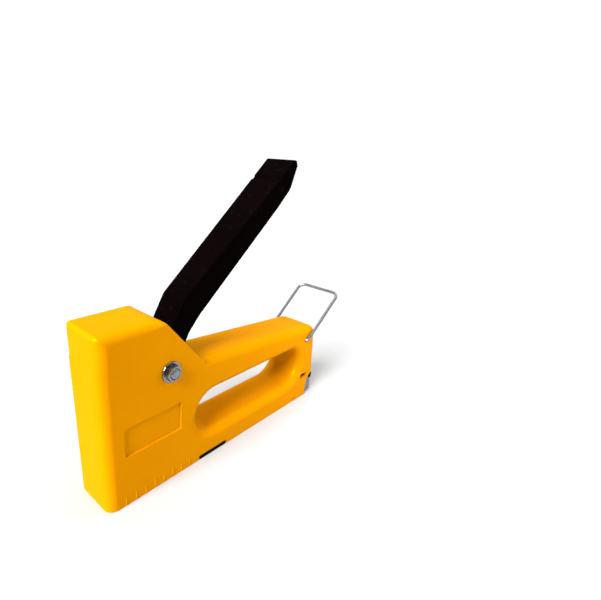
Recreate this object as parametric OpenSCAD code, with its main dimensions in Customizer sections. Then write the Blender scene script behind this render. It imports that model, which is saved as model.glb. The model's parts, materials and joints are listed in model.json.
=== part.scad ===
// Hand staple gun: moulded half shells, squeeze lever, striker and sliding magazine.
// +X is the nose, +Y the gun's left, +Z up. The origin is where the staple leaves the sole.

/* [Body] */
// Width across both half shells
body_width = 26.2; // [26:0.1:26.4]
// Height of the head above the sole
head_height = 85.5; // [85:0.5:90]
// Distance from the staple exit back to the foot of the heel
heel_length = 152; // [151.8:0.1:152.2]
// Wall thickness seen in the side profile
wall = 2.2; // [2:0.1:2.4]
// Radius of the round ends of the finger window
window_radius = 12.3; // [11:0.1:12.3]

/* [Lever] */
// Swing between fully up and fully squeezed, in degrees
lever_swing = 38.5; // [30:0.5:38.5]
// Length from the pivot to the lever's tip
lever_length = 118; // [110:0.2:118.4]
// Width of the lever beside the pivot
lever_root_width = 14.4; // [14.2:0.1:14.6]
// Width of the lever at its tip
lever_tip_width = 18.2; // [15:0.1:20]

/* [Wire bail] */
// Tilt of the bail at rest, backwards from upright, in degrees
bail_tilt = 50.2; // [30:0.1:60]
// Distance from the bail's pivot to its cross bar
bail_length = 38.4; // [38:0.1:39]
// Distance between the centres of the two legs
bail_width = 28.7; // [28.7:0.1:30]

/* [Springs] */
// Turns of the power spring
power_turns = 6.5; // [5:0.5:7]
// Turns of the pusher spring
pusher_turns = 34; // [24:1:36]

/* [Hidden] */
round_steps = 64;
hull_steps = 32;

half_width = body_width / 2;
side_wall = 1.85;
inner_half = half_width - side_wall;
nose_length = 5;
head_lean = 0.13;
heel_lean = 4.8;
front_step = [[nose_length - 0.65, 70], [nose_length - 1, 71.4]];
head_front = [nose_length - 1 - head_lean, head_height];
slope_top = [-26.6, head_height];
slope_foot = [-49.2, 59.5];
grip_end = [-heel_length + heel_lean, 50.45];
heel_foot = [-heel_length, 17.2];
heel_notch = [-145.2, 12.6];
body_corners = [[nose_length, 0], each front_step, head_front, slope_top, slope_foot,
    grip_end, heel_foot, heel_notch, [heel_notch.x, 0]];
body_radii = [1.5, 0, 0, 2, 9, 5, 5, 1, 1.5, 0.8];
cavity_radii = [0.5, 0, 0, 2, 3, 2, 3, 0.5, 0.5, 0.5];
window_ends = [-59.55, -123.05];
window_height = 26.75;

pivot = [-30.3, 60.1];
bolt_radius = 2.5;
bush_radius = 4;
running_gap = 0.05;
press_gap = 0.03;
head_screws = [[-4.4, 78.1], [-49.5, 49.5], [-37.3, 18.7], [-5.2, 18.8]];
boss_radius = 3;
screw_radius = 1.3;
screw_seat = half_width - 1.2;
screw_reach = 8;
pivot_boss_radius = 6;

sole_slot_half = 7.1;
sole_slot_front = 2.4;
channel_half = 6.9;
channel_wall = 1;
channel_top = 12;
channel_front = -0.8;
channel_back = -141;
sole_slot_back = channel_back - 4;
rail_half = 4.7;
rail_wall = 1;
rail_low = 0.9;
rail_high = 10;
rail_front = -0.7;
rod_height = 5.4;
rod_radius = 1.5;
bridge_front = -48.8;
bridge_back = -68.7;
bridge_height = 2.5;

pull_half = inner_half - 0.15;
pull_back = -155.5;
pull_front = -136;
pull_sheet = 1;
pull_bend = 2.5;
rail_back = pull_back + pull_sheet;
rear_opening_top = 18.6;
catch_window = [[-144.3, 14.4], [-137.7, 18.0]];
label_panel = [[-36.3, 26.7], [-5, 41.7]];
label_depth = 0.9;

bail_pivot = [-137.7, 42.7];
wire_radius = 1;

claw_radius = 25.5;
claw_start = -45;
claw_tip = pivot + claw_radius * [cos(claw_start), sin(claw_start)];
claw_tail = [-12.5, 3];
claw_half = 2.5;

plunger_back = -13.5;
plunger_front = -0.5;
plunger_low = 27;
plunger_top = 47;
guided_half = inner_half - 0.25;
plunger_sheet = 2;
spring_centre = -7;
seat_low = 73.5;
bumper_top = plunger_low - 0.2;
blade_front = 0.4;

lever_half = lever_root_width / 2;
lever_tip_half = lever_tip_width / 2;
lever_wall = 1.7;
lever_inner = lever_half - lever_wall;
bush_half = lever_half + 0.3;
lever_bend = 27;
lever_roof = 2.2;
hub_radius = 8.3;
lever_top = [[-14, 9.9], [-lever_bend, 14.9], [-lever_length, 16.3]];
lever_corners = [[-lever_length + 0.8, 12.8], [-107.5, 6.6], [-95, 5.2], [-29.7, 1.4],
    [-20, -0.2], [-12, -3.8], [-5, -6.6], [0, 0], [0, hub_radius], each lever_top];
lever_radii = [0.8, 8, 20, 12, 6, 4, 0, 0, 0, 3, 6, 1.2];
groove_place = lever_length - 14.4;

function unit(v) = v / norm(v);
function turned(p, angle) = [p.x * cos(angle) - p.y * sin(angle),
    p.x * sin(angle) + p.y * cos(angle)];

// The arc that rounds corner b of the outline through a, b and c
function corner_arc(a, b, c, radius, steps = 6) = radius == 0 ? [b] :
    let (back = unit(a - b), ahead = unit(c - b), half = acos(back * ahead) / 2,
        centre = b + unit(back + ahead) * radius / sin(half),
        start = b + back * radius / tan(half) - centre,
        side = sign(ahead.x * back.y - ahead.y * back.x),
        sweep = side * (180 - 2 * half))
    [for (i = [0:steps]) centre + turned(start, sweep * i / steps)];

function rounded(points, radii) = let (n = len(points)) [for (i = [0:n - 1])
    each corner_arc(points[(i + n - 1) % n], points[i], points[(i + 1) % n], radii[i])];

// The same outline moved inwards by a distance; the outline runs counter-clockwise
function inset(points, distance) = let (n = len(points)) [for (i = [0:n - 1])
    let (e1 = unit(points[i] - points[(i + n - 1) % n]),
        e2 = unit(points[(i + 1) % n] - points[i]),
        n1 = [-e1.y, e1.x], n2 = [-e2.y, e2.x])
    points[i] + (n1 + n2) * distance / (1 + n1 * n2)];

// A plate cut to a side outline, between two distances left of the centre plane
module plate(points, low, high) {
    translate([0, high, 0]) rotate([90, 0, 0]) linear_extrude(high - low) polygon(points);
}

// A round bar across the gun
module cross_bar(place, radius, low, high, steps = round_steps) {
    translate([place.x, high, place.y]) rotate([90, 0, 0])
        cylinder(r = radius, h = high - low, $fn = steps);
}

// A box between two side-view corners and two distances across the gun
module box(corner_a, corner_b, low, high) {
    translate([corner_a.x, low, corner_a.y])
        cube([corner_b.x - corner_a.x, high - low, corner_b.y - corner_a.y]);
}

module window_bar(radius, low, high) {
    for (x = window_ends) cross_bar([x, window_height], radius, low, high);
    box([window_ends[1], window_height - radius], [window_ends[0], window_height + radius],
        low, high);
}

// A solid of revolution with a domed top, standing on z = 0
module dome(radius, edge, height, steps = 6) {
    rotate_extrude($fn = round_steps) polygon([[0, 0], [radius, 0],
        for (i = [0:steps - 1]) [radius * cos(90 * i / steps),
            edge + (height - edge) * sin(90 * i / steps)], [0, height]]);
}

// A round wire swept along a path; axis is a direction never parallel to the path
module wire(path, radius, sides, axis) {
    last = len(path) - 1;
    rings = [for (i = [0:last])
        let (along = unit(path[min(i + 1, last)] - path[max(i - 1, 0)]),
            out = unit(cross(along, axis)), up = cross(out, along))
        for (k = [0:sides - 1])
            path[i] + radius * (cos(360 * k / sides) * out + sin(360 * k / sides) * up)];
    walls = [for (i = [0:last - 1], k = [0:sides - 1])
        let (a = i * sides + k, b = i * sides + (k + 1) % sides)
        each [[a, b, b + sides], [a, b + sides, a + sides]]];
    ends = [[for (k = [sides - 1:-1:0]) k], [for (k = [0:sides - 1]) last * sides + k]];
    polyhedron(rings, concat(walls, ends));
}

// Share of a coil spring's length at a share of its turns, with the end coils closed
function coil_rise(share, closed) = max(0, min(1, (share - closed) / (1 - 2 * closed)));

// ---- Half shells -------------------------------------------------------------------

slot_front = slope_top + (slope_foot - slope_top) * 0.33;
slope_out = turned(unit(slope_foot - slope_top), -90);
slot_reach = 4;
slot_rise = 10;
slot_drop = 5;
slot_back = slope_foot.x - 0.8;
lever_slot = [slot_front - slope_out * slot_reach, slot_front + slope_out * slot_reach,
    [slot_back, pivot.y + slot_rise], [slot_back, pivot.y - slot_drop]];
slot_half = lever_half + 0.8;
rib_places = [-16, -32, -78, -96, -114, -128];
rib_inner = 7;
rib_sheet = 2;
rib_top = 12.8;

module half_shell() {
    difference() {
        plate(rounded(body_corners, body_radii), 0, half_width);
        difference() {
            plate(rounded(inset(body_corners, wall), cavity_radii), -1, inner_half);
            window_bar(window_radius + wall, -2, half_width);
            for (x = rib_places) box([x, 0], [x + rib_sheet, rib_top], rib_inner, half_width);
            for (s = head_screws) cross_bar(s, boss_radius, -2, half_width);
            cross_bar(pivot, pivot_boss_radius, lever_half + 0.6, half_width);
        }
        window_bar(window_radius, -1, half_width + 1);
        plate(lever_slot, -1, slot_half);
        box([sole_slot_back, -1], [sole_slot_front, wall + 0.1], -1, sole_slot_half);
        box([-heel_length - 1, -1], [pull_front + 1, rear_opening_top], -1, inner_half);
        box(catch_window[0], catch_window[1], inner_half - 1, half_width + 1);
        box(label_panel[0], label_panel[1], half_width - label_depth, half_width + 1);
        box([bridge_back - 0.1, -1], [bridge_front + 0.1, bridge_height + 0.1],
            rib_inner, half_width + 1);
        cross_bar(bail_pivot, wire_radius + running_gap, inner_half - 1, half_width + 1);
        cross_bar(pivot, bolt_radius + 2 * running_gap, lever_half, half_width + 1);
    }
}

module housing_left() {
    color([0.96, 0.75, 0.05]) difference() {
        half_shell();
        for (s = head_screws) cross_bar(s, screw_radius + running_gap, -1, screw_reach + 1);
    }
}

module housing_right() {
    color([0.96, 0.75, 0.05]) mirror([0, 1, 0]) difference() {
        half_shell();
        for (s = head_screws) {
            cross_bar(s, screw_radius + 3 * running_gap, -1, half_width + 1);
            cross_bar(s, boss_radius - 0.1, screw_seat, half_width + 1);
        }
    }
}

// ---- Fasteners ---------------------------------------------------------------------

module housing_screws() {
    head_radius = 2.6;
    head_edge = 0.6;
    head_height = 1.8;
    cross_half = 1.7;
    cross_width = 0.75;
    cross_floor = 0.8;
    color([0.78, 0.78, 0.8]) for (s = head_screws) {
        cross_bar(s, screw_radius, -screw_seat, screw_reach);
        translate([s.x, -screw_seat, s.y]) rotate([90, 0, 0]) difference() {
            dome(head_radius, head_edge, head_height);
            for (angle = [0, 90]) rotate(angle)
                translate([-cross_half, -cross_width / 2, cross_floor])
                    cube([2 * cross_half, cross_width, head_height]);
        }
    }
}

washer_radius = 5.1;
washer_sheet = 0.7;
nut_height = 2.3;
nut_low = half_width + washer_sheet;

module pivot_bolt() {
    chamfer = 0.6;
    thread_stand = 0.55;
    bolt_end = nut_low + nut_height + thread_stand;
    head_radius = 4.3;
    head_edge = 0.7;
    head_height = 2.7;
    color([0.82, 0.82, 0.84]) {
        cross_bar(pivot, bolt_radius, -half_width, bolt_end - chamfer);
        translate([pivot.x, bolt_end - chamfer, pivot.y]) rotate([-90, 0, 0])
            cylinder(r1 = bolt_radius, r2 = bolt_radius - chamfer, h = chamfer,
                $fn = round_steps);
        translate([pivot.x, -half_width, pivot.y]) rotate([90, 0, 0])
            dome(head_radius, head_edge, head_height);
    }
}

module pivot_washer() {
    color([0.7, 0.71, 0.73]) difference() {
        cross_bar(pivot, washer_radius, half_width, half_width + washer_sheet);
        cross_bar(pivot, bolt_radius + 2 * running_gap, half_width - 1, half_width + 2);
    }
}

module pivot_nut() {
    nut_flats = 7;
    color([0.62, 0.63, 0.65]) difference() {
        cross_bar(pivot, nut_flats / 2 / cos(30), nut_low, nut_low + nut_height, 6);
        cross_bar(pivot, bolt_radius + running_gap, nut_low - 1, nut_low + nut_height + 1);
    }
}

// ---- Lever and claw ----------------------------------------------------------------

module at_lever() {
    translate([pivot.x, 0, pivot.y]) rotate([0, lever_swing, 0]) children();
}

// The lever's plan between its tip and the far side of the hub, drawn in from its sides
module lever_plan(side) {
    root = lever_half - side;
    tip = lever_tip_half - side;
    reach = lever_length + 1;
    translate([0, 0, -20]) linear_extrude(40) polygon([[hub_radius + 1, -root],
        [hub_radius + 1, root], [-lever_bend, root], [-reach, tip], [-reach, -tip],
        [-lever_bend, -root]]);
}

module handle_lever() {
    roof_line = inset(lever_corners, lever_roof);
    tip = roof_line[len(roof_line) - 1];
    hollow = [tip, [tip.x, -15], [-6, -15], [-6, roof_line[9].y], roof_line[9],
        roof_line[10]];
    stiffener_places = [48, 66, 84, 100];
    stiffener_low = 7.5;
    groove_half = 1.7;
    groove_low = 15.5;
    across = lever_tip_half + 1;
    color([0.06, 0.05, 0.055]) at_lever() difference() {
        union() {
            intersection() {
                plate(rounded(lever_corners, lever_radii), -across, across);
                lever_plan(0);
            }
            cross_bar([0, 0], hub_radius, -lever_half, lever_half);
        }
        difference() {
            intersection() {
                plate(hollow, -across, across);
                lever_plan(lever_wall);
            }
            for (s = stiffener_places) box([-s, stiffener_low], [-s + 1.6, 18], -across, across);
        }
        cross_bar([0, 0], hub_radius + 0.8, -lever_inner, lever_inner);
        box([-groove_place - groove_half, groove_low], [-groove_place + groove_half, 18],
            -across, across);
        cross_bar([0, 0], bush_radius + press_gap, -across, across);
        cross_bar(claw_tail, rod_radius + press_gap, -across, across);
    }
}

module pivot_bush() {
    color([0.72, 0.7, 0.6]) difference() {
        cross_bar(pivot, bush_radius, -bush_half, bush_half);
        cross_bar(pivot, bolt_radius + running_gap, -bush_half - 1, bush_half + 1);
    }
}

module lift_claw() {
    elbow = [-24, 41];
    hub = 7;
    elbow_radius = 3;
    tip_radius = 2;
    tail_radius = 3.2;
    tail = pivot + turned(claw_tail, -lever_swing);
    color([0.55, 0.56, 0.58]) difference() {
        union() {
            hull() {
                cross_bar(pivot, hub, -claw_half, claw_half, hull_steps);
                cross_bar(elbow, elbow_radius, -claw_half, claw_half, hull_steps);
            }
            hull() {
                cross_bar(elbow, elbow_radius, -claw_half, claw_half, hull_steps);
                cross_bar(claw_tip, tip_radius, -claw_half, claw_half, hull_steps);
            }
            hull() {
                cross_bar(pivot, hub, -claw_half, claw_half, hull_steps);
                cross_bar(tail, tail_radius, -claw_half, claw_half, hull_steps);
            }
        }
        cross_bar(pivot, bush_radius + press_gap, -claw_half - 1, claw_half + 1);
        cross_bar(tail, rod_radius + press_gap, -claw_half - 1, claw_half + 1);
    }
}

module claw_rivet() {
    color([0.7, 0.7, 0.72]) at_lever()
        cross_bar(claw_tail, rod_radius, -bush_half, bush_half);
}

// Torsion spring round the bush: one leg on a screw boss, the other under the claw rivet
module lever_return_spring() {
    coil_radius = 4.8;
    coil_wire = 0.45;
    coil_turns = 2;
    steps_per_turn = 16;
    low = claw_half + coil_wire + 0.1;
    high = lever_inner - coil_wire - 0.1;
    boss_leg = head_screws[1] - pivot + [-3.8, 3.4];
    lever_leg = turned([-17.2, 2.9], -lever_swing);
    first = atan2(boss_leg.y, boss_leg.x) - acos(coil_radius / norm(boss_leg));
    final = atan2(lever_leg.y, lever_leg.x) + acos(coil_radius / norm(lever_leg));
    drop = (first - final + 720) % 360 + 360 * (coil_turns - 1);
    steps = round(drop / 360 * steps_per_turn);
    coil = [for (i = [0:steps]) let (a = first - drop * i / steps)
        [coil_radius * cos(a), low + (high - low) * i / steps, coil_radius * sin(a)]];
    path = concat([[boss_leg.x, low, boss_leg.y]], coil, [[lever_leg.x, high, lever_leg.y]]);
    color([0.6, 0.6, 0.62]) translate([pivot.x, 0, pivot.y]) wire(path, coil_wire, 6, [0, 1, 0]);
}

// ---- Striker -----------------------------------------------------------------------

module striker_plunger() {
    top_sheet = 2.7;
    gusset_drop = 2.5;
    gusset = [[plunger_back, plunger_top - top_sheet - gusset_drop], [plunger_front, plunger_low],
        [plunger_front, plunger_top], [plunger_back, plunger_top]];
    color([0.5, 0.52, 0.55]) difference() {
        union() {
            box([plunger_back, plunger_top - top_sheet], [plunger_front, plunger_top],
                -guided_half, guided_half);
            box([plunger_front - plunger_sheet, plunger_low], [plunger_front, plunger_top],
                -guided_half, guided_half);
            plate(gusset, guided_half - plunger_sheet, guided_half);
            plate(gusset, -guided_half, plunger_sheet - guided_half);
        }
        rivet_bores();
    }
}

module striker_blade() {
    blade_low = 0.2;
    blade_top = plunger_top - 1;
    blade_half = 5.6;
    color([0.68, 0.69, 0.7]) difference() {
        box([plunger_front, blade_low], [blade_front, blade_top], -blade_half, blade_half);
        rivet_bores();
    }
}

rivet_places = [-3.6, 3.6];
rivet_height = 39;
rivet_radius = 1;

module rivet_bores() {
    for (y = rivet_places) translate([plunger_front - 4, y, rivet_height]) rotate([0, 90, 0])
        cylinder(r = rivet_radius + press_gap, h = 6, $fn = round_steps);
}

module blade_rivets() {
    head = 0.5;
    head_radius = 1.65;
    tail = plunger_front - plunger_sheet - head;
    color([0.72, 0.72, 0.74]) for (y = rivet_places) translate([0, y, rivet_height])
        rotate([0, 90, 0]) {
            translate([0, 0, tail])
                cylinder(r = rivet_radius, h = blade_front - tail, $fn = round_steps);
            translate([0, 0, blade_front]) dome(head_radius, 0.3, 0.8);
            translate([0, 0, tail]) cylinder(r = head_radius, h = head, $fn = round_steps);
        }
}

module power_spring() {
    coil_wire = 0.85;
    coil_radius = 5.35;
    steps = round(power_turns * 20);
    closed = 0.12;
    low = plunger_top + coil_wire + 0.02;
    high = seat_low - coil_wire - 0.02;
    path = [for (i = [0:steps]) let (a = power_turns * 360 * i / steps)
        [spring_centre + coil_radius * cos(a), coil_radius * sin(a),
            low + (high - low) * coil_rise(i / steps, closed)]];
    color([0.45, 0.46, 0.48]) wire(path, coil_wire, 8, [0, 0, 1]);
}

module spring_seat() {
    color([0.6, 0.61, 0.63])
        box([plunger_back - 0.5, seat_low], [0, head_screws[0].y - boss_radius],
            -guided_half, guided_half);
}

module striker_bumper() {
    bumper_back = -9.5;
    bumper_front = -1.2;
    color([0.12, 0.12, 0.12])
        box([bumper_back, head_screws[3].y + boss_radius], [bumper_front, bumper_top],
            -guided_half, guided_half);
}

module nose_plate() {
    back_low = [0.6, 0.3];
    front_high = [2.3, 34];
    plate_half = 7;
    color([0.66, 0.67, 0.69]) box(back_low, front_high, -plate_half, plate_half);
}

// ---- Magazine ----------------------------------------------------------------------

module magazine_channel() {
    channel_low = 0.7;
    color([0.6, 0.61, 0.63]) difference() {
        box([channel_back, channel_low], [channel_front, channel_top], -channel_half, channel_half);
        box([channel_back - 1, 0], [channel_front + 1, channel_top - channel_wall],
            channel_wall - channel_half, channel_half - channel_wall);
    }
}

module magazine_bridge() {
    floor_sheet = 0.6;
    color([0.05, 0.05, 0.05]) {
        box([bridge_back, 0], [bridge_front, floor_sheet], -half_width, half_width);
        box([bridge_back, 0], [bridge_front, bridge_height], sole_slot_half, half_width);
        box([bridge_back, 0], [bridge_front, bridge_height], -half_width, -sole_slot_half);
    }
}

module staple_rail() {
    rail_inner = rail_half - rail_wall;
    end_wall = 1.1;
    color([0.7, 0.71, 0.73]) difference() {
        box([rail_back, rail_low], [rail_front, rail_high], -rail_half, rail_half);
        box([rail_back + end_wall, rail_low + rail_wall],
            [rail_front - end_wall, rail_high + 1], -rail_inner, rail_inner);
        rod_bore();
    }
}

module rod_bore() {
    translate([pull_back - 1, 0, rod_height]) rotate([0, 90, 0])
        cylinder(r = rod_radius + press_gap, h = -pull_back + 2, $fn = round_steps);
}

module magazine_pull() {
    outer = [[pull_front, -pull_half], [pull_front, pull_half], [pull_back, pull_half],
        [pull_back, -pull_half]];
    catch_top = 17.4;
    low = 0.9;
    high = 12.4;
    step = heel_notch.x + 0.5;
    shoulder = 1.3;
    side = [[pull_back - 1, low], [pull_front, low], [pull_front, catch_top],
        [step + shoulder, catch_top], [step, high], [pull_back - 1, high]];
    open_end = [5, 0];
    color([0.62, 0.63, 0.66]) difference() {
        intersection() {
            linear_extrude(30) polygon(rounded(outer, [0, 0, pull_bend, pull_bend]));
            plate(rounded(side, [0, 1.5, 1.5, 1.2, 1.2, 0]), -half_width, half_width);
        }
        translate([0, 0, -1]) linear_extrude(32)
            polygon(rounded(inset([outer[0] + open_end, outer[1] + open_end, outer[2], outer[3]],
                pull_sheet), [0, 0, pull_bend - pull_sheet, pull_bend - pull_sheet]));
        rod_bore();
    }
}

module pusher_rod() {
    color([0.75, 0.76, 0.78]) translate([0, 0, rod_height]) rotate([0, -90, 0]) {
        translate([0, 0, -rail_front + 0.1])
            cylinder(r = rod_radius, h = rail_front - pull_back - 0.1, $fn = round_steps);
        translate([0, 0, -pull_back]) dome(2.5, 0.4, 1.2);
    }
}

pusher_front = -3;
pusher_back = -14;

module pusher() {
    flap_outer = 5.6;
    flap_inner = 4.85;
    flap_low = 1.4;
    web_half = 3.5;
    web_low = 2.1;
    cap_low = rail_high + 0.05;
    cap_high = rail_high + 0.95;
    color([0.66, 0.67, 0.69]) difference() {
        union() {
            box([pusher_back, web_low], [pusher_front, cap_high], -web_half, web_half);
            box([pusher_back, cap_low], [pusher_front, cap_high], -flap_outer, flap_outer);
            box([pusher_back, flap_low], [pusher_front, cap_high], flap_inner, flap_outer);
            box([pusher_back, flap_low], [pusher_front, cap_high], -flap_outer, -flap_inner);
        }
        translate([pusher_back - 1, 0, rod_height]) rotate([0, 90, 0])
            cylinder(r = rod_radius + running_gap, h = pusher_front - pusher_back + 2,
                $fn = round_steps);
    }
}

module pusher_spring() {
    coil_wire = 0.3;
    coil_radius = 2.4;
    steps = pusher_turns * 10;
    low = pusher_back - coil_wire - 0.02;
    high = rail_back + 1.1 + coil_wire + 0.02;
    path = [for (i = [0:steps]) let (a = pusher_turns * 360 * i / steps)
        [low + (high - low) * coil_rise(i / steps, 0.02), coil_radius * cos(a),
            rod_height + coil_radius * sin(a)]];
    color([0.55, 0.56, 0.58]) wire(path, coil_wire, 5, [1, 0, 0]);
}

// ---- Wire bail ---------------------------------------------------------------------

module quarter_bend(radius) {
    rotate([90, 0, 90]) rotate_extrude(angle = 90, $fn = round_steps)
        translate([radius, 0]) circle(r = wire_radius, $fn = round_steps);
}

module bail_side() {
    leg = bail_width / 2;
    foot_bend = 1.5;
    top_bend = 4;
    pin_end = inner_half - 1.2;
    cross_bar([0, 0], wire_radius, pin_end, leg - foot_bend);
    translate([0, leg - foot_bend, foot_bend]) mirror([0, 0, 1]) quarter_bend(foot_bend);
    translate([0, leg, foot_bend])
        cylinder(r = wire_radius, h = bail_length - foot_bend - top_bend, $fn = round_steps);
    translate([0, leg - top_bend, bail_length - top_bend]) quarter_bend(top_bend);
    cross_bar([0, bail_length], wire_radius, 0, leg - top_bend);
}

module wire_bail() {
    color([0.75, 0.76, 0.78]) translate([bail_pivot.x, 0, bail_pivot.y])
        rotate([0, -bail_tilt, 0]) {
            bail_side();
            mirror([0, 1, 0]) bail_side();
        }
}

housing_left();
housing_right();
housing_screws();
pivot_bolt();
pivot_washer();
pivot_nut();
magazine_channel();
magazine_bridge();
nose_plate();
spring_seat();
striker_bumper();
lever_return_spring();
handle_lever();
pivot_bush();
lift_claw();
claw_rivet();
striker_plunger();
striker_blade();
blade_rivets();
power_spring();
staple_rail();
magazine_pull();
pusher_rod();
pusher();
pusher_spring();
wire_bail();
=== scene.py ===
import json
import math

import bmesh
import bpy
from mathutils import Matrix, Quaternion, Vector

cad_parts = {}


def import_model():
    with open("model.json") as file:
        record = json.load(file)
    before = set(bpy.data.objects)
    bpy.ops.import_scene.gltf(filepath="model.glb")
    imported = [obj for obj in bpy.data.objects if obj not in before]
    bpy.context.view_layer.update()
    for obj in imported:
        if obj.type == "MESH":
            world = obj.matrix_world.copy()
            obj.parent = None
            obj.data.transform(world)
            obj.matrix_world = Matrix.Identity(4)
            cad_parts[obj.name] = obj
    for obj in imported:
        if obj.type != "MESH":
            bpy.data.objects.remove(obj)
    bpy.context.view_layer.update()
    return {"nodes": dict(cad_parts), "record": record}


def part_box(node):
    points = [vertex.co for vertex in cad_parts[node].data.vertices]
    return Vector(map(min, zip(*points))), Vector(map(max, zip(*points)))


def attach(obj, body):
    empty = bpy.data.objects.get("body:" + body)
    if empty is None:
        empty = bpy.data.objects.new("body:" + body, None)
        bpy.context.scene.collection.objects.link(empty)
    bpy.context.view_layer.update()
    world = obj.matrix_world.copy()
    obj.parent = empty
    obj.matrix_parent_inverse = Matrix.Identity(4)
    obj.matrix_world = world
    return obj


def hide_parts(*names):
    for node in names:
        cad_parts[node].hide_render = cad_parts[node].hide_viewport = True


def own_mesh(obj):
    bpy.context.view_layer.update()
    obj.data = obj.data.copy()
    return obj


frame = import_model()

# Sizes below are in millimetres in the gun's own frame: x to the nose, y to the left, z up.
MM = 0.001


# ---- Sizes read from the frame -------------------------------------------------------


def low_corner(node):
    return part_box(node)[0] / MM


def high_corner(node):
    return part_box(node)[1] / MM


def joint(name):
    return next(j for j in frame["record"]["behaviour"]["joints"] if j["name"] == name)


HALF_WIDTH = high_corner("housing_left").y
HEAD_HEIGHT = high_corner("housing_left").z
HEEL = low_corner("housing_left").x
NOSE = high_corner("housing_left").x
PIVOT = (joint("lever_pivot")["pos_m"][0] / MM, joint("lever_pivot")["pos_m"][2] / MM)
LEVER_SWING = math.radians(joint("lever_pivot")["range_deg"][1])
BAIL_PIVOT = (joint("bail_hinge")["pos_m"][0] / MM, joint("bail_hinge")["pos_m"][2] / MM)
ROD_HEIGHT = (low_corner("pusher_rod").z + high_corner("pusher_rod").z) / 2

# ---- Outlines ------------------------------------------------------------------------


def corner_arc(a, b, c, radius, steps):
    """Points of the arc that rounds corner b of the outline through a, b and c."""
    a, b, c = Vector(a), Vector(b), Vector(c)
    if radius == 0:
        return [b]
    back, ahead = (a - b).normalized(), (c - b).normalized()
    half = math.acos(max(-1, min(1, back.dot(ahead)))) / 2
    centre = b + (back + ahead).normalized() * radius / math.sin(half)
    start = b + back * radius / math.tan(half) - centre
    end = b + ahead * radius / math.tan(half) - centre
    sweep = start.angle(end)
    return [
        centre + (start * math.sin(sweep * (1 - i / steps)) + end * math.sin(sweep * i / steps))
        / math.sin(sweep)
        for i in range(steps + 1)
    ]


def rounded(corners, radii, steps=8):
    """A closed outline with each corner rounded."""
    n = len(corners)
    out = []
    for i in range(n):
        out += corner_arc(corners[i - 1], corners[i], corners[(i + 1) % n], radii[i], steps)
    return out


def edge_values(corners, radii, values, steps=8):
    """One value per point of rounded(): values[i] holds on the edge that leaves corner i."""
    out = []
    for i in range(len(corners)):
        count = steps + 1 if radii[i] else 1
        for k in range(count):
            t = k / steps if count > 1 else 1
            t = t * t * (3 - 2 * t)
            out.append(values[i - 1] * (1 - t) + values[i] * t)
    return out


def mitres(points):
    """For each point of a counter-clockwise outline, the move that insets it by one."""
    n = len(points)
    out = []
    for i in range(n):
        e1 = (points[i] - points[i - 1]).normalized()
        e2 = (points[(i + 1) % n] - points[i]).normalized()
        n1, n2 = Vector((-e1.y, e1.x)), Vector((-e2.y, e2.x))
        out.append((n1 + n2) / (1 + n1.dot(n2)))
    return out


def corner_limits(corners, radii, steps=8):
    """For each point of rounded(): the corner's radius, and how it moves once inset past that."""
    out = []
    for radius, move in zip(radii, mitres([Vector(c) for c in corners])):
        out += [(radius, move)] * (steps + 1) if radius else [(math.inf, move)]
    return out


def inset(corners, distance):
    """An outline drawn in by a distance, or out by a negative one."""
    points = [Vector(c) for c in corners]
    return [p + m * distance for p, m in zip(points, mitres(points))]


def circle(centre, radius, steps=48):
    """A circle as a counter-clockwise outline."""
    turn = 2 * math.pi / steps
    return [
        Vector((centre[0] + radius * math.cos(i * turn), centre[1] + radius * math.sin(i * turn)))
        for i in range(steps)
    ]


def rectangle(low, high):
    """The outline of a rectangle between two corners, counter-clockwise."""
    return [(low[0], low[1]), (high[0], low[1]), (high[0], high[1]), (low[0], high[1])]


# ---- Solids --------------------------------------------------------------------------

SIDE, FRONT, PLAN = "side", "front", "plan"


def in_plane(plane, p, across):
    """A point of an outline, at a distance across it, as a point of the gun in metres."""
    u, v = p[0], p[1]
    if plane == SIDE:
        place = (u, across, v)
    elif plane == FRONT:
        place = (across, u, v)
    else:
        place = (u, v, across)
    return Vector(place) * MM


def new_object(name, bm):
    """Turns a bmesh into an object of the scene, its doubled points merged."""
    bmesh.ops.remove_doubles(bm, verts=bm.verts, dist=1e-7)
    bmesh.ops.recalc_face_normals(bm, faces=bm.faces)
    mesh = bpy.data.meshes.new(name)
    bm.to_mesh(mesh)
    bm.free()
    obj = bpy.data.objects.new(name, mesh)
    bpy.context.scene.collection.objects.link(obj)
    return obj


def from_rings(name, rings):
    """A closed solid through rings of equal point counts, with flat ends."""
    bm = bmesh.new()
    loops = [[bm.verts.new(p) for p in ring] for ring in rings]
    count = len(loops[0])
    for low, high in zip(loops, loops[1:]):
        for i in range(count):
            j = (i + 1) % count
            bm.faces.new((low[i], low[j], high[j], high[i]))
    bm.faces.new(loops[0][::-1])
    bm.faces.new(loops[-1])
    return new_object(name, bm)


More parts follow.
